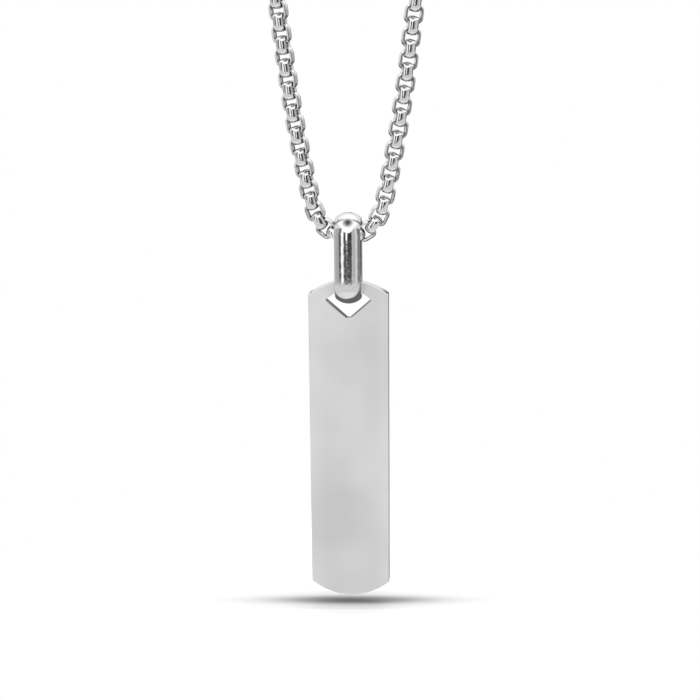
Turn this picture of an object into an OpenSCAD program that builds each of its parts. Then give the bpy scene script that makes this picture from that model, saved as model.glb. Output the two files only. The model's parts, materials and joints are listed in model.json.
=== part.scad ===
// Bar pendant on a round box chain, hanging from the nape of the neck.
// X runs across the bar, Y runs through it (the front faces -Y) and Z points up.
// The origin is under the clasp at the top of the loop, where the necklace sits on the neck.

/* [Bar] */
// Width of the bar
bar_w = 13.5; // [11:0.1:16]
// Height of the bar's straight sides
bar_side_h = 51.1; // [35:0.1:60]
// Thickness of the bar
bar_t = 2.3; // [1.8:0.1:2.4]
// Rise of the arched top edge over its corners
bar_top_rise = 2.3; // [1.8:0.05:3]
// Rise of the arched bottom edge over its corners
bar_bottom_rise = 2.5; // [1.8:0.05:3]

/* [Cut-out] */
// Radius of the cut-out's arched top, measured from its bottom tip
cut_r = 5.15; // [5.1:0.05:5.4]
// Angle of each lower edge of the cut-out from the upright
cut_half_angle = 48.5; // [44:0.5:52]
// Depth of the cut-out's sharp tip under the bar's top corners
cut_tip_drop = 4.35; // [4:0.05:4.6]
// Rounding of the cut-out's tip
cut_tip_r = 0.55; // [0.3:0.05:0.8]

/* [Bail] */
// Width of the bail's wire
bail_w = 4.35; // [3.4:0.05:5]
// Thickness of the bail's wire at its crown
bail_t = 1.5; // [1.2:0.05:1.7]
// Thickness of the bail's wire at its edges
bail_edge = 0.6; // [0.4:0.05:0.8]
// Radius of the inside of the bail's round ends
bail_in_r = 2.2; // [2.15:0.05:2.4]
// Distance between the centres of the bail's round ends
bail_span = 8.0; // [6:0.05:12]
// Height of the bail's upper centre over the chain's lowest point
bail_lift = 0.25; // [0.2:0.05:0.4]
// Drop from the bail's lower centre to the bar's top corners
bail_to_bar = 2.05; // [2:0.05:2.3]

/* [Chain] */
// Width of a link across its ring
link_w = 2.96; // [2.8:0.04:3]
// Length of a link
link_l = 3.0; // [2.9:0.02:3.04]
// Thickness of the links' wire at its crown
wire_t = 0.42; // [0.36:0.02:0.44]
// Width of the links' wire
wire_w = 1.4; // [1.2:0.02:1.44]
// Radius that rounds a link's outside corners, measured from its centre
link_round_r = 1.65; // [1.6:0.01:1.67]
// Thickness of a link at its rounded corners
link_corner_t = 0.32; // [0.28:0.01:0.36]
// Distance from link to link
pitch = 1.84; // [1.8:0.01:1.86]
// Distance from link to link where the chain bends round the bail
bend_pitch = 1.74; // [1.72:0.01:1.75]
// Number of links on each side of the middle link
side_links = 121; // [81:2:121]
// Turn of the strands about their own length
strand_roll = 10; // [0:1:20]

/* [Clasp] */
// Wire thickness of the end rings
ring_wire = 0.85; // [0.7:0.05:1]
// Outside diameter of the end rings
ring_d = 5.2; // [5.2:0.1:6]
// Thickness of the clasp
clasp_t = 1.8; // [1.4:0.1:2]

/* [Hidden] */
$fn = 64;

// Each half of the loop starts level in the bail and ends level at the clasp.
// The rows run up the strand: round the bail, out of the bend, the slack bow and the straight strand.
FREE_ANGLE = 6.9;                 // lean of the straight strand from the upright
round_r = 5.6;
round_turn = 61;
ease_r = 11.2;
ease_turn = 16.2;
bow_r = 230;
bow_turn = 90 - FREE_ANGLE - round_turn - ease_turn;
bend_links = 4;                   // links on each side that lie in the bend round the bail

// The clasp's outline: a round eye at its left end and a long loop at its right end
eye_r = 1.95;
eye_hole_r = 0.95;
loop_r = 3.0;
loop_rim = 1.2;
loop_narrow_r = 1.0;
eye_x = -3.7;
loop_x = eye_hole_r - eye_x - loop_r + loop_rim;
loop_narrow_x = 0;
wire_gap = 0.22;                  // least gap between a ring and what hangs in it

// Where the end rings hang: their inside clears the corners of what passes through them
ring_in_r = ring_d / 2 - ring_wire;
function seat(half_width) = sqrt(pow(ring_in_r - wire_gap, 2) - pow(half_width, 2));
clasp_half = eye_hole_r - eye_x + seat(clasp_t / 2);
link_in_l = link_l / 2 - wire_t;
link_in_w = link_w / 2 - wire_t;
ring_to_link = seat(wire_w / 2) + link_in_l;

// The path as rows of [length, radius], where radius 0 is a straight stretch
function arc_l(r, turn) = r * turn * PI / 180;
low_rows = [
    [arc_l(round_r, round_turn), round_r],
    [arc_l(ease_r, ease_turn), ease_r],
    [arc_l(bow_r, bow_turn), bow_r],
];
// A step of length d from the place [x, z, heading] on a stretch of radius r
function step(at, d, r) = r == 0
    ? [at[0] + d * cos(at[2]), at[1] + d * sin(at[2]), at[2]]
    : let (h = at[2] + d / r * 180 / PI)
        [at[0] + r * (sin(h) - sin(at[2])), at[1] + r * (cos(at[2]) - cos(h)), h];
// The place at distance s along the rows, from row i on
function along(rows, s, i = 0, at = [0, 0, 0]) =
    i == len(rows) - 1 || s <= rows[i][0]
        ? step(at, s, rows[i][1])
        : along(rows, s - rows[i][0], i + 1, step(at, rows[i][0], rows[i][1]));
function total(rows, i = 0) = i == len(rows) ? 0 : rows[i][0] + total(rows, i + 1);

// The straight strand is as long as the rest of the half loop leaves for it
function station(i) = i <= bend_links ? i * bend_pitch : bend_links * bend_pitch + (i - bend_links) * pitch;
half_l = station(side_links) + ring_to_link + clasp_half;
low_l = total(low_rows);
low_end = along(low_rows, low_l);
top_turn = 90 + FREE_ANGLE;
arc_share = top_turn * PI / 180 / cos(FREE_ANGLE);
strand_l = (half_l - low_l - clasp_half - arc_share * (low_end[0] - clasp_half))
    / (1 + arc_share * sin(FREE_ANGLE));
top_r = (low_end[0] + strand_l * sin(FREE_ANGLE) - clasp_half) / cos(FREE_ANGLE);
rows = concat(low_rows, [[strand_l, 0], [arc_l(top_r, top_turn), top_r], [clasp_half, 0]]);
loop_top = along(rows, half_l)[1];

// Heights in the pendant's own frame
chain_low = clasp_t / 2 - loop_top;
bail_top = chain_low + bail_lift;
bail_bottom = bail_top - bail_span;
bar_corner = bail_bottom - bail_to_bar;

// Section of the bail's wire: flat on the inside at X = 0, crowned towards +X
module half_round(w, t, edge) {
    rise = t - edge;
    crown_r = (w * w / 4 + rise * rise) / (2 * rise);
    intersection() {
        translate([t - crown_r, 0]) circle(r = crown_r);
        translate([0, -w / 2]) square([2 * t, w]);
    }
}

module bar_plate() {
    color("#D0D0D0")
    translate([0, bar_t / 2, bar_corner]) rotate([90, 0, 0]) linear_extrude(bar_t)
    difference() {
        union() {
            translate([-bar_w / 2, -bar_side_h]) square([bar_w, bar_side_h]);
            arched_end(bar_top_rise);
            translate([0, -bar_side_h]) mirror([0, 1]) arched_end(bar_bottom_rise);
        }
        cut_out();
    }
}

// An arched end over the bar's full width
module arched_end(rise) {
    arch_r = (bar_w * bar_w / 4 + rise * rise) / (2 * rise);
    intersection() {
        translate([0, rise - arch_r]) circle(r = arch_r, $fn = 128);
        translate([-bar_w / 2, 0]) square([bar_w, rise + 1]);
    }
}

// The cut-out: a slice of a disc, its point down and rounded
module cut_out() {
    reach = 2 * cut_r;
    tip_up = cut_tip_r / sin(cut_half_angle);
    round_x = cut_tip_r * cos(cut_half_angle);
    round_z = tip_up - cut_tip_r * sin(cut_half_angle);
    translate([0, -cut_tip_drop]) intersection() {
        circle(r = cut_r);
        union() {
            polygon([
                [-round_x, round_z], [round_x, round_z],
                [reach * sin(cut_half_angle), reach * cos(cut_half_angle)],
                [-reach * sin(cut_half_angle), reach * cos(cut_half_angle)],
            ]);
            translate([0, tip_up]) circle(r = cut_tip_r);
        }
    }
}

module bail() {
    color("#C4C6C8")
    translate([0, 0, bail_top]) {
        for (side = [0, 1]) mirror([0, side, 0])
            translate([0, bail_in_r, -bail_span]) rotate([0, 0, 90])
                linear_extrude(bail_span) half_round(bail_w, bail_t, bail_edge);
        bail_end();
        translate([0, 0, -bail_span]) mirror([0, 0, 1]) bail_end();
    }
}

module bail_end() {
    rotate([90, 0, 90]) rotate_extrude(angle = 180)
        translate([bail_in_r, 0]) half_round(bail_w, bail_t, bail_edge);
}

// One link: a box ring of flat stock with round outside corners, its ring in the XZ plane and the chain along Z
module link() {
    rotate([90, 0, 0]) translate([0, 0, -wire_w / 2]) linear_extrude(wire_w) difference() {
        intersection() {
            square([link_w, link_l], center = true);
            circle(r = link_round_r);
        }
        intersection() {
            square([2 * link_in_w, 2 * link_in_l], center = true);
            circle(r = link_round_r - link_corner_t);
        }
    }
}

// The strand turns about its own length just over the bail, and turns back before the clasp
roll_from = 3;
roll_l = 12;
unroll_l = 40;
function ease(k) = let (c = min(max(k, 0), 1)) c * c * (3 - 2 * c);
function roll(s) = strand_roll * ease((s - roll_from) / roll_l) * min((half_l - s) / unroll_l, 1);

module link_at(i) {
    s = station(i);
    at = along(rows, s);
    translate([at[0], 0, at[1] + chain_low]) rotate([0, 90 - at[2], 0])
        rotate([0, 0, roll(s) + 90 * (i % 2)]) link();
}

module chain_right() {
    color("#BFC1C3") for (i = [1:side_links]) link_at(i);
}

module chain_left() {
    color("#BFC1C3") {
        link_at(0);
        mirror([1, 0, 0]) for (i = [1:side_links]) link_at(i);
    }
}

module end_ring(x) {
    color("#BFC1C3")
    translate([x, 0, clasp_t / 2]) rotate([90, 0, 0])
        rotate_extrude() translate([ring_in_r + ring_wire / 2, 0]) circle(d = ring_wire, $fn = 24);
}

module end_ring_left() end_ring(-clasp_half);
module end_ring_right() end_ring(clasp_half);

module clasp() {
    color("#BFC1C3")
    linear_extrude(clasp_t) difference() {
        taper(eye_x, eye_r, loop_x, loop_r);
        translate([eye_x, 0]) circle(r = eye_hole_r);
        taper(loop_narrow_x, loop_narrow_r, loop_x, loop_r - loop_rim);
    }
}

// Two circles on the X axis joined by straight sides
module taper(x1, r1, x2, r2) {
    translate([x1, 0]) circle(r = r1);
    translate([x2, 0]) circle(r = r2);
    polygon([[x1, -r1], [x2, -r2], [x2, r2], [x1, r1]]);
}

bar_plate();
bail();
chain_left();
chain_right();
end_ring_left();
end_ring_right();
clasp();
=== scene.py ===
# A steel bar pendant on a round box chain, in front of a plain white backdrop.
# Sizes are in millimetres, as on the part's drawing, and MM turns them to Blender's metres.
import bmesh
import bpy
import json
import math
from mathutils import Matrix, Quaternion, Vector


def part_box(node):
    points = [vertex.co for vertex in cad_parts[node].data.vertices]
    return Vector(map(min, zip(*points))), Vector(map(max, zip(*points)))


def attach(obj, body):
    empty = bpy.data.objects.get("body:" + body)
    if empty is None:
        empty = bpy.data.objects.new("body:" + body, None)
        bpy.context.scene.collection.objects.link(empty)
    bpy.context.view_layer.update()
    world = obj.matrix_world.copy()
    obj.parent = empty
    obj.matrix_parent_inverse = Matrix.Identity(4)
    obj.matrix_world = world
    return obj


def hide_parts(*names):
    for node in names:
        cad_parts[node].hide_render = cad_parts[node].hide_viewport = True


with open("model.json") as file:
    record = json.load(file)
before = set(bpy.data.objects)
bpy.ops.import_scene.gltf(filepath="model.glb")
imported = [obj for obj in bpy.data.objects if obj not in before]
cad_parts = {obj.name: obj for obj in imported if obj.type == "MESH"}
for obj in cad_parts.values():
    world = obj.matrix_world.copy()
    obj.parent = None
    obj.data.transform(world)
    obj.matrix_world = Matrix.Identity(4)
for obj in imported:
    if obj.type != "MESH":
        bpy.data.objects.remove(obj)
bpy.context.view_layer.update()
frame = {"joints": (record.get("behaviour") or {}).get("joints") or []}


# The bar: a flat blank of 2.3 mm stainless steel, stamped with arched ends and a cut-out for the bail.
# Its edges are tumbled slightly round, and both faces are fine-blasted to an even pale grey.
MM = 0.001
bar_w = 13.5
bar_side_h = 51.1
bar_t = 2.3
bar_top_rise = 2.3
bar_bottom_rise = 2.5
bar_edge_r = 0.1
bar_corner_r = 0.2
cut_r = 5.15
cut_half_angle = math.radians(48.5)
cut_tip_drop = 4.35
cut_tip_r = 0.55
cut_corner_r = 0.2
swing_z = {joint["name"]: joint["pos_m"][2] / MM for joint in frame["joints"]}
bar_drop = 2.05                   # from the line that the bar swings on down to its top corners
bar_corner = swing_z["bar_swing"] - bar_drop
SAME_POINT = 0.001                # points closer than this are joined
SHARP_ANGLE = math.radians(50)    # an edge that turns by more than this stays sharp


def arc(centre, radius, start, end, steps):
    """Points of an arc about centre, its angles from +X."""
    turns = [start + (end - start) * k / steps for k in range(steps + 1)]
    return [(centre[0] + radius * math.cos(a), centre[1] + radius * math.sin(a)) for a in turns]


def rounded(points, radii, steps=6):
    """The closed outline with the corners that radii names, by their place in the list, rounded."""
    outline = []
    for k, point in enumerate(points):
        if k not in radii:
            outline.append(point)
            continue
        before, after = points[k - 1], points[(k + 1) % len(points)]
        back = math.atan2(before[1] - point[1], before[0] - point[0])
        ahead = math.atan2(after[1] - point[1], after[0] - point[0])
        open_angle = (ahead - back + math.pi) % math.tau - math.pi
        middle = back + open_angle / 2
        reach = radii[k] / math.sin(abs(open_angle) / 2)
        centre = (point[0] + reach * math.cos(middle), point[1] + reach * math.sin(middle))
        sweep = math.pi - abs(open_angle)
        first = middle + math.pi - math.copysign(sweep / 2, -open_angle)
        last = middle + math.pi + math.copysign(sweep / 2, -open_angle)
        outline += arc(centre, radii[k], first, last, steps)
    return outline


def arched_side(half_w, corner_z, rise, steps=40):
    """The arch over a straight side of half_w each way, from +X to -X. A negative rise arches downward."""
    radius = (half_w ** 2 + rise ** 2) / (2 * abs(rise))
    half_turn = math.asin(half_w / radius)
    middle = math.copysign(math.pi / 2, rise)
    centre = (0, corner_z + rise - math.copysign(radius, rise))
    return arc(centre, radius, middle - half_turn, middle + half_turn, steps)


def weld(mesh):
    """Joins the points that lie on each other and shades the mesh smooth but for its sharp corners."""
    shell = bmesh.new()
    shell.from_mesh(mesh)
    bmesh.ops.remove_doubles(shell, verts=shell.verts, dist=SAME_POINT * MM)
    bmesh.ops.recalc_face_normals(shell, faces=shell.faces)
    shell.to_mesh(mesh)
    shell.free()
    mesh.shade_smooth()
    mesh.set_sharp_from_angle(angle=SHARP_ANGLE)


def stamped(name, outlines, thick, edge_r, edge_steps=3):
    """A flat blank in the XY plane, centred on it: the first outline, less the others as holes."""
    blank = bpy.data.curves.new(name, "CURVE")
    blank.dimensions = "2D"
    blank.fill_mode = "BOTH"
    blank.extrude = (thick / 2 - edge_r) * MM
    blank.bevel_depth = edge_r * MM
    blank.bevel_resolution = edge_steps
    blank.offset = -edge_r * MM
    for outline in outlines:
        spline = blank.splines.new("POLY")
        spline.points.add(len(outline) - 1)
        for point, (x, y) in zip(spline.points, outline):
            point.co = (x * MM, y * MM, 0, 1)
        spline.use_cyclic_u = True
    holder = bpy.data.objects.new(name + "_blank", blank)
    bpy.context.scene.collection.objects.link(holder)
    solid = holder.evaluated_get(bpy.context.evaluated_depsgraph_get())
    mesh = bpy.data.meshes.new_from_object(solid)
    bpy.data.objects.remove(holder)
    weld(mesh)
    mesh.name = name
    return mesh


def dressed(name, mesh, material, body, slot, *nodes):
    """Puts a finished mesh on its body, in place of the nodes that it stands for."""
    piece = bpy.data.objects.new(name, mesh)
    bpy.context.scene.collection.objects.link(piece)
    mesh.materials.clear()
    mesh.materials.append(material)
    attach(piece, body)
    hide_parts(*nodes)
    even = piece.modifiers.new("even_faces", "WEIGHTED_NORMAL")
    even.keep_sharp = True
    return piece


def linear(hex_colour):
    """An sRGB hex colour as linear RGBA."""
    channels = [int(hex_colour[k:k + 2], 16) / 255 for k in (1, 3, 5)]
    return [c / 12.92 if c <= 0.04045 else ((c + 0.055) / 1.055) ** 2.4 for c in channels] + [1.0]


def add_node(tree, kind, settings=None, inputs=None, stops=()):
    """Adds a node with its settings. Each input is a value, or the socket that feeds it.
    The stops of a colour ramp are pairs of a place from 0 to 1 and a hex colour."""
    node = tree.nodes.new(kind)
    for name, value in (settings or {}).items():
        setattr(node, name, value)
    for name, value in (inputs or {}).items():
        if isinstance(value, bpy.types.NodeSocket):
            tree.links.new(value, node.inputs[name])
        else:
            node.inputs[name].default_value = value
    for k, (place, colour) in enumerate(stops):
        marks = node.color_ramp.elements
        mark = marks[k] if k < len(marks) else marks.new(place)
        mark.position = place
        mark.color = linear(colour)
    return node


def new_material(name):
    """An empty material and its node tree."""
    material = bpy.data.materials.new(name)
    material.use_nodes = True
    material.node_tree.nodes.clear()
    return material, material.node_tree


# Fine-blasted stainless steel: no image shows in it, only an even pale grey with a cloudy change of tone.
# It is drawn a little paler toward the bar's sides than in the middle.
# The real grit of about 0.05 mm is too fine for the picture, so it is drawn at 0.16 mm.
blast_grey = "#EEEEEE"
blast_pale = "#FDFDFD"
cloud_size = 19
grit_size = 0.16
grit_depth = 0.01
paler_from = 3.4                 # where it starts to be paler, from the bar's middle line
paler_to = 6.6
side_lift = 0.35
blasted_steel, tree = new_material("blasted_stainless_steel")
place = add_node(tree, "ShaderNodeTexCoord").outputs["Object"]
cloud = add_node(tree, "ShaderNodeTexNoise", inputs={
    "Vector": place, "Scale": 1 / (cloud_size * MM), "Detail": 2.0, "Roughness": 0.5})
patches = add_node(tree, "ShaderNodeMapRange", inputs={
    "Value": cloud.outputs["Fac"], "From Min": 0.35, "From Max": 0.65})
sideways = add_node(tree, "ShaderNodeSeparateXYZ", inputs={"Vector": place})
from_middle = add_node(tree, "ShaderNodeMath", {"operation": "ABSOLUTE"}, {0: sideways.outputs["X"]})
# The colour is lifted toward pale with the distance from the bar's middle line.
toward_sides = add_node(tree, "ShaderNodeMapRange", {"interpolation_type": "SMOOTHSTEP"}, {
    "Value": from_middle.outputs["Value"], "To Max": side_lift,
    "From Min": paler_from * MM, "From Max": paler_to * MM})
paler = add_node(tree, "ShaderNodeMath", {"operation": "ADD", "use_clamp": True}, {
    0: patches.outputs["Result"], 1: toward_sides.outputs["Result"]})
tone = add_node(tree, "ShaderNodeMix", {"data_type": "RGBA"}, {
    "Factor": paler.outputs["Value"], "A": linear(blast_grey), "B": linear(blast_pale)})
rough = add_node(tree, "ShaderNodeMapRange", inputs={
    "Value": cloud.outputs["Fac"], "To Min": 0.6, "To Max": 0.66})
grit = add_node(tree, "ShaderNodeTexNoise", inputs={
    "Vector": place, "Scale": 1 / (grit_size * MM), "Detail": 1.0})
pits = add_node(tree, "ShaderNodeBump", inputs={
    "Height": grit.outputs["Fac"], "Strength": 0.12, "Distance": grit_depth * MM})
steel = add_node(tree, "ShaderNodeBsdfPrincipled", inputs={
    "Base Color": tone.outputs["Result"], "Metallic": 1.0,
    "Roughness": rough.outputs["Result"], "Normal": pits.outputs["Normal"]})
add_node(tree, "ShaderNodeOutputMaterial", inputs={"Surface": steel.outputs["BSDF"]})

# Tumbled edges of the same steel: the blasting leaves them bright, so they show the room as soft streaks.
edge_grey = "#DCDCDC"
tumbled_steel, tree = new_material("tumbled_stainless_steel")
steel = add_node(tree, "ShaderNodeBsdfPrincipled", inputs={
    "Base Color": linear(edge_grey), "Metallic": 1.0, "Roughness": 0.09})
add_node(tree, "ShaderNodeOutputMaterial", inputs={"Surface": steel.outputs["BSDF"]})

top = arched_side(bar_w / 2, 0, bar_top_rise)
bottom = arched_side(bar_w / 2, -bar_side_h, -bar_bottom_rise)
bar_corners = (0, len(top) - 1, len(top), len(top) + len(bottom) - 1)
bar_outline = rounded(top + bottom, {k: bar_corner_r for k in bar_corners})
cut_tip = (0, -cut_tip_drop)
cut_arch = arc(cut_tip, cut_r, math.pi / 2 - cut_half_angle, math.pi / 2 + cut_half_angle, steps=24)
cut_outline = rounded([cut_tip] + cut_arch, {0: cut_tip_r, 1: cut_corner_r, len(cut_arch): cut_corner_r})
bar_mesh = stamped("bar_plate_steel", [bar_outline, cut_outline], bar_t, bar_edge_r)

# The blank is stood upright, its front towards -Y.
for vertex in bar_mesh.vertices:
    x, up, out = vertex.co
    vertex.co = (x, -out, up + bar_corner * MM)
bar = dressed("bar_plate_steel", bar_mesh, blasted_steel, "bar", "bar", "bar_plate")

# The flat faces keep the blasted finish, and all that curves away from them is a tumbled edge.
FLAT_MIN = 0.97
bar_mesh.materials.append(tumbled_steel)
for face in bar_mesh.polygons:
    face.material_index = 0 if abs(face.normal.y) > FLAT_MIN else 1

# The bail and the links show none of the bar's pale face, so it is kept out of their reflections.
bar.visible_glossy = False


# The bail: a closed loop of wide half-round wire, bent flat side in, soldered shut and mirror polished.
# It goes over the chain's lowest link and through the bar's cut-out.
bail_w = 4.35
bail_t = 1.5
bail_edge = 0.6
bail_edge_r = 0.14
bail_in_r = 2.2
bail_top = swing_z["bail_swing"]  # the centre of its upper end, which it swings on
bail_span = bail_top - swing_z["bar_swing"]


def half_round(width, thick, edge, edge_r, crown_steps, corner_steps):
    """The section of half-round wire as (height over the flat side, place across), round at its edges."""
    rise = thick - edge
    crown_r = (width ** 2 / 4 + rise ** 2) / (2 * rise)
    half_turn = math.asin(width / 2 / crown_r)
    crown = arc((thick - crown_r, 0), crown_r, -half_turn, half_turn, crown_steps)
    inside = [(0, width / 2), (0, 0), (0, -width / 2)]
    last = len(crown)
    return rounded(crown + inside, {k: edge_r for k in (0, last - 1, last, last + 2)}, corner_steps)


def swept_ring(path, section):
    """A closed ring of wire, wide along Y. Each path point is (x, z, the way out as an angle)."""
    points, faces = [], []
    for x, z, out in path:
        points += [(x + h * math.cos(out), w, z + h * math.sin(out)) for h, w in section]
    for k in range(len(path)):
        here = k * len(section)
        there = (k + 1) % len(path) * len(section)
        for side in range(len(section)):
            beside = (side + 1) % len(section)
            faces.append((here + side, here + beside, there + beside, there + side))
    return points, faces


def wire_mesh(name, points, faces):
    """A mesh from points in millimetres."""
    mesh = bpy.data.meshes.new(name)
    mesh.from_pydata([(x * MM, y * MM, z * MM) for x, y, z in points], [], faces)
    weld(mesh)
    return mesh


# Mirror-polished stainless steel: it shows the studio sharply, a little softened by the polishing wheel.
# The wheel's fine marks run along the wire, and are drawn coarser than real ones so that they show.
mirror_grey = "#E4E5E6"
mark_size = 0.28
mark_stretch = 2.5
mark_depth = 0.02
polished_steel, tree = new_material("polished_stainless_steel")
place = add_node(tree, "ShaderNodeTexCoord").outputs["Object"]
along_wire = add_node(tree, "ShaderNodeVectorMath", {"operation": "MULTIPLY"}, {
    0: place, 1: (1, 1, 1 / mark_stretch)})
marks = add_node(tree, "ShaderNodeTexNoise", inputs={
    "Vector": along_wire.outputs["Vector"], "Scale": 1 / (mark_size * MM), "Detail": 2.0})
rough = add_node(tree, "ShaderNodeMapRange", inputs={
    "Value": marks.outputs["Fac"], "To Min": 0.05, "To Max": 0.13})
wave = add_node(tree, "ShaderNodeBump", inputs={
    "Height": marks.outputs["Fac"], "Strength": 0.6, "Distance": mark_depth * MM})
steel = add_node(tree, "ShaderNodeBsdfPrincipled", inputs={
    "Base Color": linear(mirror_grey), "Metallic": 1.0,
    "Roughness": rough.outputs["Result"], "Normal": wave.outputs["Normal"]})
add_node(tree, "ShaderNodeOutputMaterial", inputs={"Surface": steel.outputs["BSDF"]})

END_STEPS = 40
LEG_STEPS = 12


def bail_end(start, centre_z):
    """Half a turn of the bail's path round one of its end centres, from the angle start on."""
    angles = [start + math.pi * k / END_STEPS for k in range(END_STEPS + 1)]
    return [(bail_in_r * math.cos(a), bail_in_r * math.sin(a) + centre_z, a) for a in angles]


leg_points = [bail_span * k / LEG_STEPS for k in range(1, LEG_STEPS)]
bail_path = bail_end(0, 0) + [(-bail_in_r, -down, math.pi) for down in leg_points]
bail_path += bail_end(math.pi, -bail_span) + [(bail_in_r, up - bail_span, 0) for up in leg_points]
bail_wire = half_round(bail_w, bail_t, bail_edge, bail_edge_r, crown_steps=24, corner_steps=4)

# The loop is swept in the XZ plane and then turned to stand across the bar.
points, faces = swept_ring(bail_path, bail_wire)
bail_mesh = wire_mesh("bail_loop", [(y, x, z + bail_top) for x, y, z in points], faces)
dressed("bail_loop", bail_mesh, polished_steel, "bail", "bail", "bail")


# The chain: round box links of half-round steel wire, each turned a quarter from the last and polished.
# The loop runs from the link in the bail, up both sides of the neck, to a ring at each end.
link_w = 3.2
link_l = 3.14
link_roundness = 5                # power of the superellipse that a link follows
wire_t = 0.55
wire_w = 1.63
wire_edge = 0.3
wire_edge_r = 0.05
pitch = 1.84
bend_pitch = 1.74
bend_links = 4
side_links = 121
LINK_STEPS = 40

# From its lowest point a side goes round the bail, eases out of the bend, hangs in a slack bow and runs
# straight up, then turns over the nape to the ring and the clasp's middle.
bail_lift = 0.25
round_r = 5.6
round_turn = math.radians(61)
ease_r = 11.2
ease_turn = math.radians(16.2)
free_angle = math.radians(6.9)    # lean of the straight strand from the upright
bow_r = 230
bow_turn = math.pi / 2 - free_angle - round_turn - ease_turn
top_turn = math.pi / 2 + free_angle
ring_d = 5.2
slid = 0.43                       # how far the chain has slid to the left through the bail
strand_roll = math.radians(10)    # turn of the strand about its own length
roll_from = 3                     # where it sets in
roll_l = 12                       # the length over which it does
unroll_l = 40                     # the length before the clasp's middle over which it goes again


def along(s):
    """The place at distance s up the strand, as (x, z, heading from +X)."""
    if s < 0:
        x, z, heading = along(-s)
        return -x, z, -heading
    x = z = heading = 0
    for length, radius in rows:
        d = min(s, length)
        s -= d
        if radius:
            turned = heading + d / radius
            x += radius * (math.sin(turned) - math.sin(heading))
            z += radius * (math.cos(heading) - math.cos(turned))
            heading = turned
        else:
            x += d * math.cos(heading)
            z += d * math.sin(heading)
    return x, z, heading


# The path as rows of (length, radius), where radius 0 is straight. The straight strand and the turn over
# the nape are as long as the height and the clasp's half length leave for them.
chain_low = bail_top - bail_lift
clasp_low, clasp_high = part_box("clasp")
clasp_mid = (clasp_low[2] + clasp_high[2]) / 2 / MM
clasp_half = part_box("end_ring_right")[1][0] / MM - ring_d / 2
rows = [(round_r * round_turn, round_r), (ease_r * ease_turn, ease_r), (bow_r * bow_turn, bow_r)]
low_x, low_z = along(sum(length for length, radius in rows))[:2]
climb = clasp_mid - chain_low - low_z
strand_l = climb * math.cos(free_angle) / (1 + math.sin(free_angle)) + clasp_half - low_x
top_r = (low_x + strand_l * math.sin(free_angle) - clasp_half) / math.cos(free_angle)
rows += [(strand_l, 0), (top_r * top_turn, top_r), (clasp_half, 0)]
half_l = sum(length for length, radius in rows)


def station(k):
    """How far up the strand link k sits."""
    return k * bend_pitch if k <= bend_links else bend_links * bend_pitch + (k - bend_links) * pitch


def roll(s):
    """How far the strand is turned about its own length, in radians."""
    k = min(max((s - roll_from) / roll_l, 0), 1)
    return strand_roll * k * k * (3 - 2 * k) * min((half_l - s) / unroll_l, 1)


def signed_power(value, power):
    """The value's size to a power, with the value's own sign."""
    return math.copysign(abs(value) ** power, value)


def link_shape():
    """One link about its own centre: its ring in the XZ plane, the chain along Z, slightly bowed sides."""
    half_x = link_w / 2 - wire_t
    half_z = link_l / 2 - wire_t
    path = []
    for k in range(LINK_STEPS):
        angle = math.tau * k / LINK_STEPS
        x = signed_power(math.cos(angle), 2 / link_roundness)
        z = signed_power(math.sin(angle), 2 / link_roundness)
        out = math.atan2(signed_power(z, link_roundness - 1) / half_z,
                         signed_power(x, link_roundness - 1) / half_x)
        path.append((x * half_x, z * half_z, out))
    link_wire = half_round(wire_w, wire_t, wire_edge, wire_edge_r, crown_steps=8, corner_steps=2)
    return swept_ring(path, link_wire)


def linked(numbers, side):
    """Points and faces of the links with these numbers. Side 1 is on the right, and -1 on the left."""
    points, faces = [], []
    shape, shape_faces = link_shape()
    for k in numbers:
        s = station(k)
        s -= side * slid * (1 - s / half_l)
        x0, z0, heading = along(s)
        turn = roll(s) + (math.pi / 2 if k % 2 else 0)
        lean = math.pi / 2 - heading
        start = len(points)
        for x, y, z in shape:
            x, y = x * math.cos(turn) - y * math.sin(turn), x * math.sin(turn) + y * math.cos(turn)
            x, z = x * math.cos(lean) + z * math.sin(lean), z * math.cos(lean) - x * math.sin(lean)
            points.append(((x + x0) * side, y, z + z0 + chain_low))
        faces += [tuple(start + corner for corner in face) for face in shape_faces]
    return points, faces


# Tumble-polished chain steel: bright, but its mirror is a little softer than the bail's, and dented.
# It is darker in its recesses by painted shade: an occlusion mask darkens the colour where the links crowd
# close.
chain_grey = "#E8E8E8"
painted_shade_grey = "#3A3A3A"
shade_reach = 0.6
dent_size = 0.5
dent_depth = 0.02
tumbled_chain, tree = new_material("tumble_polished_stainless_steel")
place = add_node(tree, "ShaderNodeTexCoord").outputs["Object"]
# Painted shade: the ambient occlusion mask mixes in the dark grey in crevices and between the links, where
# they shade each other.
shade_mask = add_node(tree, "ShaderNodeAmbientOcclusion", {"samples": 8}, {"Distance": shade_reach * MM})
unshaded = add_node(tree, "ShaderNodeMapRange", inputs={
    "Value": shade_mask.outputs["AO"], "From Min": 0.4, "From Max": 0.85})
tone = add_node(tree, "ShaderNodeMix", {"data_type": "RGBA"}, {
    "Factor": unshaded.outputs["Result"], "A": linear(painted_shade_grey), "B": linear(chain_grey)})
dents = add_node(tree, "ShaderNodeTexNoise", inputs={
    "Vector": place, "Scale": 1 / (dent_size * MM), "Detail": 1.0})
wave = add_node(tree, "ShaderNodeBump", inputs={
    "Height": dents.outputs["Fac"], "Strength": 0.5, "Distance": dent_depth * MM})
steel = add_node(tree, "ShaderNodeBsdfPrincipled", inputs={
    "Base Color": tone.outputs["Result"], "Metallic": 1.0,
    "Roughness": 0.12, "Normal": wave.outputs["Normal"]})
add_node(tree, "ShaderNodeOutputMaterial", inputs={"Surface": steel.outputs["BSDF"]})

# The middle link, number 0, hangs in the bail and belongs to the left half.
for name, side, first in (("chain_right", 1, 1), ("chain_left", -1, 0)):
    chain_mesh = wire_mesh(name + "_links", *linked(range(first, side_links + 1), side))
    dressed(name + "_links", chain_mesh, tumbled_chain, "chain", "chain", name)


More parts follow.
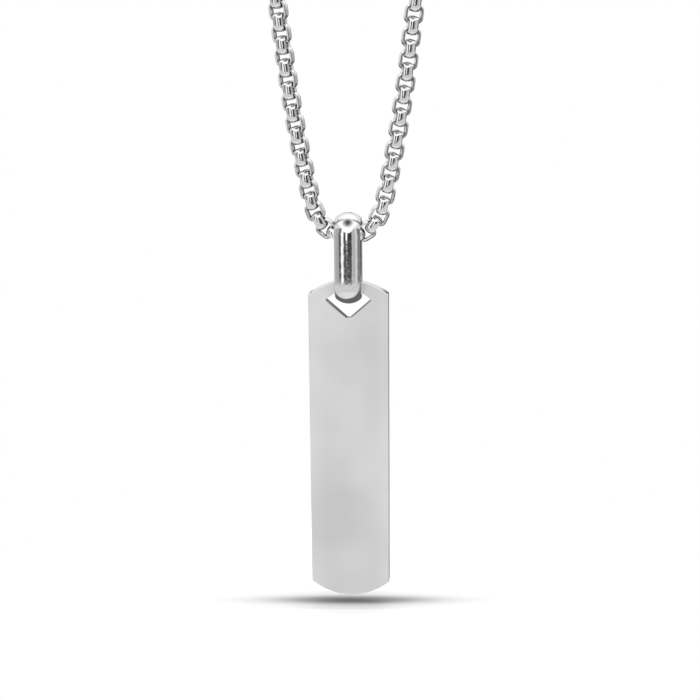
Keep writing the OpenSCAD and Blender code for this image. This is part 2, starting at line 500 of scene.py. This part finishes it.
# The end rings: two plain rings of round steel wire, soldered shut and polished like the bail.
# Each joins the last link of one side of the chain to the clasp.
ring_wire = 0.85
WIRE_STEPS = 16
RING_STEPS = 64


def circle(centre, radius, steps):
    """The outline of a circle, as a closed row of points from +X round."""
    return arc(centre, radius, 0, math.tau * (steps - 1) / steps, steps - 1)


ring_in_r = ring_d / 2 - ring_wire
ring_path = []
for k in range(RING_STEPS):
    a = math.tau * k / RING_STEPS
    ring_path.append((ring_in_r * math.cos(a), ring_in_r * math.sin(a), a))
points, faces = swept_ring(ring_path, circle((ring_wire / 2, 0), ring_wire / 2, WIRE_STEPS))
for name, x0 in (("end_ring_right", clasp_half), ("end_ring_left", -clasp_half)):
    ring_mesh = wire_mesh(name + "_wire", [(x + x0, y, z + clasp_mid) for x, y, z in points], faces)
    dressed(name + "_wire", ring_mesh, polished_steel, "chain", "chain", name)


# The clasp: one closed steel piece at the nape, a round eye on the left and a long loop on the right.
# It is cast with soft edges and polished like the bail.
clasp_t = 1.8
clasp_edge_r = 0.4
eye_x = -3.7
eye_r = 1.95
eye_hole_r = 0.95
loop_r = 3.0
loop_rim = 1.2
loop_narrow_r = 1.0
loop_narrow_x = 0
loop_x = eye_hole_r - eye_x - loop_r + loop_rim


def strap(x1, r1, x2, r2, steps=32):
    """The outline round two circles on the X axis, joined by straight sides."""
    lean = math.acos((r1 - r2) / (x2 - x1))
    return arc((x2, 0), r2, -lean, lean, steps) + arc((x1, 0), r1, lean, math.tau - lean, steps)


clasp_outline = strap(eye_x, eye_r, loop_x, loop_r)
eye_hole = circle((eye_x, 0), eye_hole_r, steps=32)
loop_hole = strap(loop_narrow_x, loop_narrow_r, loop_x, loop_r - loop_rim)
clasp_mesh = stamped("clasp_steel", [clasp_outline, eye_hole, loop_hole], clasp_t, clasp_edge_r)
for vertex in clasp_mesh.vertices:
    vertex.co.z += clasp_mid * MM
dressed("clasp_steel", clasp_mesh, polished_steel, "chain", "chain", "clasp")


# The table: a round sheet of white card just under the bar, fading into the white room at its rim.
# The thin, wide shadow under the bar is toned into the card, as the even light throws no sharp one.
floor_gap = 1.6
table_r = 70
fade_from = 22                    # the card is whole up to here from its middle, and gone at fade_to
fade_to = 68.6
shadow_half_x = 35.6
shadow_half_y = 4.6
shadow_x = 0.2
shadow_y = 0.2
shadow_turn = math.radians(2.8)
table_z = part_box("bar_plate")[0][2] / MM - floor_gap

# Matt white card: it mirrors nothing, and carries only the shadow, darkest in the middle.
table_card, tree = new_material("white_table_card")
place = add_node(tree, "ShaderNodeTexCoord").outputs["Object"]
reach = add_node(tree, "ShaderNodeVectorMath", {"operation": "LENGTH"}, {0: place})
fade = add_node(tree, "ShaderNodeMapRange", {"interpolation_type": "SMOOTHSTEP"}, {
    "Value": reach.outputs["Value"], "From Min": fade_from * MM, "From Max": fade_to * MM})
flat = add_node(tree, "ShaderNodeVectorMath", {"operation": "MULTIPLY"}, {
    0: place, 1: (1 / (shadow_half_x * MM), 1 / (shadow_half_y * MM), 0)})
from_middle = add_node(tree, "ShaderNodeVectorMath", {"operation": "LENGTH"}, {0: flat.outputs["Vector"]})
shade = add_node(tree, "ShaderNodeValToRGB", inputs={"Fac": from_middle.outputs["Value"]}, stops=[
    (0, "#8E8E8E"), (0.125, "#979797"), (0.25, "#A3A3A3"), (0.375, "#C7C7C7"), (0.5, "#DFDFDF"),
    (0.625, "#EAEAEA"), (0.75, "#EFEFEF"), (0.85, "#F1F1F1"), (1, "#FFFFFF")])
card = add_node(tree, "ShaderNodeBsdfDiffuse", inputs={"Color": shade.outputs["Color"]})
clear = add_node(tree, "ShaderNodeBsdfTransparent")
mix = add_node(tree, "ShaderNodeMixShader", inputs={
    0: fade.outputs["Result"], 1: card.outputs["BSDF"], 2: clear.outputs["BSDF"]})
add_node(tree, "ShaderNodeOutputMaterial", inputs={"Surface": mix.outputs["Shader"]})

rim = circle((0, 0), table_r * MM, steps=64)
table_mesh = bpy.data.meshes.new("table")
table_mesh.from_pydata([(x, y, 0) for x, y in rim], [], [tuple(range(len(rim)))])
table_mesh.materials.append(table_card)
table = bpy.data.objects.new("table", table_mesh)
bpy.context.scene.collection.objects.link(table)
table.location = (shadow_x * MM, shadow_y * MM, table_z * MM)
table.rotation_euler.z = shadow_turn
table.visible_glossy = False


# The room: a white light tent with grey walls, a grey floor and dark cards, which only the steel shows.
# The camera itself sees it plain white. Directions are X to the right, Y to the back and Z up.
room_light = 1.3
white_cloth = "#FFFFFF"
world = bpy.data.worlds.new("studio")
world.use_nodes = True
bpy.context.scene.world = world
tree = world.node_tree
tree.nodes.clear()
toward = add_node(tree, "ShaderNodeTexCoord").outputs["Generated"]
right, back, up = add_node(tree, "ShaderNodeSeparateXYZ", inputs={"Vector": toward}).outputs
front = add_node(tree, "ShaderNodeMath", {"operation": "MULTIPLY"}, {0: back, 1: -1.0})
azimuth = add_node(tree, "ShaderNodeMath", {"operation": "ARCTAN2"}, {0: right, 1: front.outputs["Value"]})
around = add_node(tree, "ShaderNodeMapRange", inputs={
    "Value": azimuth.outputs["Value"], "From Min": -math.pi, "From Max": math.pi}).outputs["Result"]
elevation = add_node(tree, "ShaderNodeMath", {"operation": "ARCSINE"}, {0: up}).outputs["Value"]


def by_azimuth(*tones):
    """Colour stops from tones that are given by degrees to the right of straight in front."""
    return [(0.5 + degrees / 360, tone) for degrees, tone in tones]


# The walls, with bright gaps between dark cards. The bail's crown shows them from -94 degrees at its left
# edge to 86 at its right one, and the sides of the links and the bail's back show the rest.
walls = add_node(tree, "ShaderNodeValToRGB", inputs={"Fac": around}, stops=by_azimuth(
    (-163, "#505050"), (-154, "#B4B4B4"), (-100, "#B4B4B4"), (-92, "#B0B0B0"), (-58, "#A0A0A0"),
    (-51, "#3C3C3C"), (-44, "#3C3C3C"), (-38, "#FFFFFF"), (-27, "#FFFFFF"), (-21, "#343434"),
    (24, "#343434"), (30, "#C0C0C0"), (40, "#A0A0A0"), (60, "#D8D8D8"), (67, "#747474"),
    (92, "#747474"), (100, "#A4A4A4"), (154, "#A4A4A4"), (163, "#505050")))

# The floor, a little darker far out than near the pendant, and dark all over behind it.
near_floor = add_node(tree, "ShaderNodeValToRGB", inputs={"Fac": around}, stops=by_azimuth(
    (-120, "#606060"), (-100, "#D8D8D8"), (76, "#D8D8D8"), (90, "#606060")))
far_floor = add_node(tree, "ShaderNodeValToRGB", inputs={"Fac": around}, stops=by_azimuth(
    (-120, "#606060"), (-100, "#C8C8C8"), (76, "#C8C8C8"), (90, "#606060")))

# Where one stretch gives way to the one above it, in degrees over the level: the near floor, the whole
# floor, the sill of a white notch in the front wall, and the tent's grey sides.
past = {}
for name, start, end in (("near_floor", -50, -42), ("floor", -11.6, -11.1), ("notch_sill", -8.5, -8.1),
                         ("sides", 36, 48)):
    step = add_node(tree, "ShaderNodeMapRange", {"interpolation_type": "SMOOTHSTEP"}, {
        "Value": elevation, "From Min": math.radians(start), "From Max": math.radians(end)})
    past[name] = step.outputs["Result"]
notch = add_node(tree, "ShaderNodeValToRGB", inputs={"Fac": around}, stops=by_azimuth(
    (-11, "#000000"), (-8, "#FFFFFF"), (-1, "#FFFFFF"), (2, "#000000")))
in_notch = add_node(tree, "ShaderNodeMath", {"operation": "MULTIPLY"}, {
    0: notch.outputs["Color"], 1: past["notch_sill"]})
notched = add_node(tree, "ShaderNodeMix", {"data_type": "RGBA"}, {
    "Factor": in_notch.outputs["Value"], "A": walls.outputs["Color"], "B": linear(white_cloth)})
floor = add_node(tree, "ShaderNodeMix", {"data_type": "RGBA"}, {
    "Factor": past["near_floor"], "A": near_floor.outputs["Color"], "B": far_floor.outputs["Color"]})
low_half = add_node(tree, "ShaderNodeMix", {"data_type": "RGBA"}, {
    "Factor": past["floor"], "A": floor.outputs["Result"], "B": notched.outputs["Result"]})

# The lower half is a little uneven, as a real room is, so the steel's bands aren't flat.
clutter = add_node(tree, "ShaderNodeTexNoise", inputs={"Vector": toward, "Scale": 9.0, "Detail": 3.0})
unevenness = add_node(tree, "ShaderNodeMapRange", inputs={
    "Value": clutter.outputs["Fac"], "From Min": 0.3, "From Max": 0.7, "To Min": 0.86, "To Max": 1.16})
uneven_half = add_node(tree, "ShaderNodeVectorMath", {"operation": "SCALE"}, {
    0: low_half.outputs["Result"], "Scale": unevenness.outputs["Result"]})

# The walls reach higher in front than behind, but for a gap straight ahead. Behind, their left side dips
# further, and a post stands over them just left of the middle.
front_top = math.radians(34)
front_gap = math.radians(19)
back_top = math.radians(7)
back_dip = math.radians(8)
post_rise = math.radians(13)
post_x = -0.065
post_half_w = 0.08
wall_top = add_node(tree, "ShaderNodeMapRange", inputs={
    "Value": back, "From Min": -0.5, "From Max": 0.5, "To Min": front_top, "To Max": back_top})
gap_in_front = add_node(tree, "ShaderNodeMapRange", inputs={
    "Value": back, "From Min": -0.96, "From Max": -0.6, "To Min": front_gap, "To Max": 0.0})
lowered = add_node(tree, "ShaderNodeMath", {"operation": "SUBTRACT"}, {
    0: wall_top.outputs["Result"], 1: gap_in_front.outputs["Result"]})
behind = add_node(tree, "ShaderNodeMapRange", inputs={"Value": back, "From Min": 0.0, "From Max": 0.5})
left_dip = add_node(tree, "ShaderNodeMapRange", inputs={
    "Value": right, "From Min": -0.1, "From Max": 0.1, "To Min": back_dip, "To Max": 0.0})
dip = add_node(tree, "ShaderNodeMath", {"operation": "MULTIPLY"}, {
    0: behind.outputs["Result"], 1: left_dip.outputs["Result"]})
roofline = add_node(tree, "ShaderNodeMath", {"operation": "SUBTRACT"}, {
    0: lowered.outputs["Value"], 1: dip.outputs["Value"]})
at_post = add_node(tree, "ShaderNodeMath", {"operation": "COMPARE"}, {0: right, 1: post_x, 2: post_half_w})
post = add_node(tree, "ShaderNodeMath", {"operation": "MULTIPLY"}, {
    0: at_post.outputs["Value"], 1: behind.outputs["Result"]})
post_top = add_node(tree, "ShaderNodeMath", {"operation": "MULTIPLY_ADD"}, {
    0: post.outputs["Value"], 1: post_rise, 2: roofline.outputs["Value"]})
over_wall = add_node(tree, "ShaderNodeMath", {"operation": "SUBTRACT"}, {
    0: elevation, 1: post_top.outputs["Value"]})
past_wall = add_node(tree, "ShaderNodeMapRange", {"interpolation_type": "SMOOTHSTEP"}, {
    "Value": over_wall.outputs["Value"], "From Min": math.radians(-0.7), "From Max": math.radians(0.7)})

# The tent over the walls: pale grey at the sides and behind, white in front and high up, and darker the
# nearer to a dark card overhead, which the bail's dome shows.
side_cloth = "#D4D4D4"
back_cloth = "#DCDCDC"
card_black = "#303030"
card_middle = (0.0, -0.3, 0.954)
card_reach = math.radians(31)
sideways = add_node(tree, "ShaderNodeMath", {"operation": "ABSOLUTE"}, {0: right})
aside = add_node(tree, "ShaderNodeMapRange", inputs={
    "Value": sideways.outputs["Value"], "From Min": 0.5, "From Max": 0.8})
low_aside = add_node(tree, "ShaderNodeMath", {"operation": "SUBTRACT", "use_clamp": True}, {
    0: aside.outputs["Result"], 1: past["sides"]})
low_behind = add_node(tree, "ShaderNodeMath", {"operation": "SUBTRACT", "use_clamp": True}, {
    0: behind.outputs["Result"], 1: past["sides"]})
back_tone = add_node(tree, "ShaderNodeMix", {"data_type": "RGBA"}, {
    "Factor": low_behind.outputs["Value"], "A": linear(white_cloth), "B": linear(back_cloth)})
tent = add_node(tree, "ShaderNodeMix", {"data_type": "RGBA"}, {
    "Factor": low_aside.outputs["Value"], "A": back_tone.outputs["Result"], "B": linear(side_cloth)})
toward_card = add_node(tree, "ShaderNodeVectorMath", {"operation": "DOT_PRODUCT"}, {
    0: toward, 1: card_middle})
near_card = add_node(tree, "ShaderNodeMapRange", inputs={
    "Value": toward_card.outputs["Value"], "From Min": math.cos(card_reach), "From Max": 1.0})
ceiling = add_node(tree, "ShaderNodeMix", {"data_type": "RGBA"}, {
    "Factor": near_card.outputs["Result"], "A": tent.outputs["Result"], "B": linear(card_black)})
room = add_node(tree, "ShaderNodeMix", {"data_type": "RGBA"}, {
    "Factor": past_wall.outputs["Result"],
    "A": uneven_half.outputs["Vector"], "B": ceiling.outputs["Result"]})
direct = add_node(tree, "ShaderNodeLightPath").outputs["Is Camera Ray"]
mirrored = add_node(tree, "ShaderNodeBackground", inputs={
    "Color": room.outputs["Result"], "Strength": room_light})
white = add_node(tree, "ShaderNodeBackground", inputs={"Color": linear(white_cloth)})
shown = add_node(tree, "ShaderNodeMixShader", inputs={
    0: direct, 1: mirrored.outputs["Background"], 2: white.outputs["Background"]})
add_node(tree, "ShaderNodeOutputWorld", inputs={"Surface": shown.outputs["Shader"]})


# The top lamp: a broad square soft box with a face of white cloth, held level over the pendant.
# It lifts the white of the table, and is kept out of the steel's reflections.
lamp_size = 300
lamp_z = 150
lamp_power = 0.51
top_light = bpy.data.lights.new("top_lamp", "AREA")
top_light.size = lamp_size * MM
top_light.energy = lamp_power
top_lamp = bpy.data.objects.new("top_lamp", top_light)
bpy.context.scene.collection.objects.link(top_lamp)
top_lamp.location = (0, 0, lamp_z * MM)
top_lamp.visible_camera = False
top_lamp.visible_glossy = False


# The camera: a long lens in front of the pendant, a little above the bail and to the right of it.
# It is turned a touch clockwise, a middle way between the picture's own roll and the bar's lean in it.
view_azimuth = math.radians(4.07)
view_elevation = math.radians(13.0)
view_roll = math.radians(-0.5)
view_distance = 246.5
aim_x = 0.134
aim_drop = 9.754                  # from the bar's top corners down to the middle of the picture
aim = Vector((aim_x, 0, bar_corner - aim_drop))
away = Vector((math.cos(view_elevation) * math.sin(view_azimuth),
               -math.cos(view_elevation) * math.cos(view_azimuth),
               math.sin(view_elevation)))
lens = bpy.data.cameras.new("camera")
lens.lens = 74.6
lens.sensor_width = 36
lens.clip_start = 10 * MM
camera = bpy.data.objects.new("camera", lens)
bpy.context.scene.collection.objects.link(camera)
camera.location = (aim + away * view_distance) * MM
camera.rotation_euler = (away.to_track_quat("Z", "Y") @ Quaternion((0, 0, 1), view_roll)).to_euler()
bpy.context.scene.camera = camera
bpy.context.scene.view_settings.view_transform = "Standard"
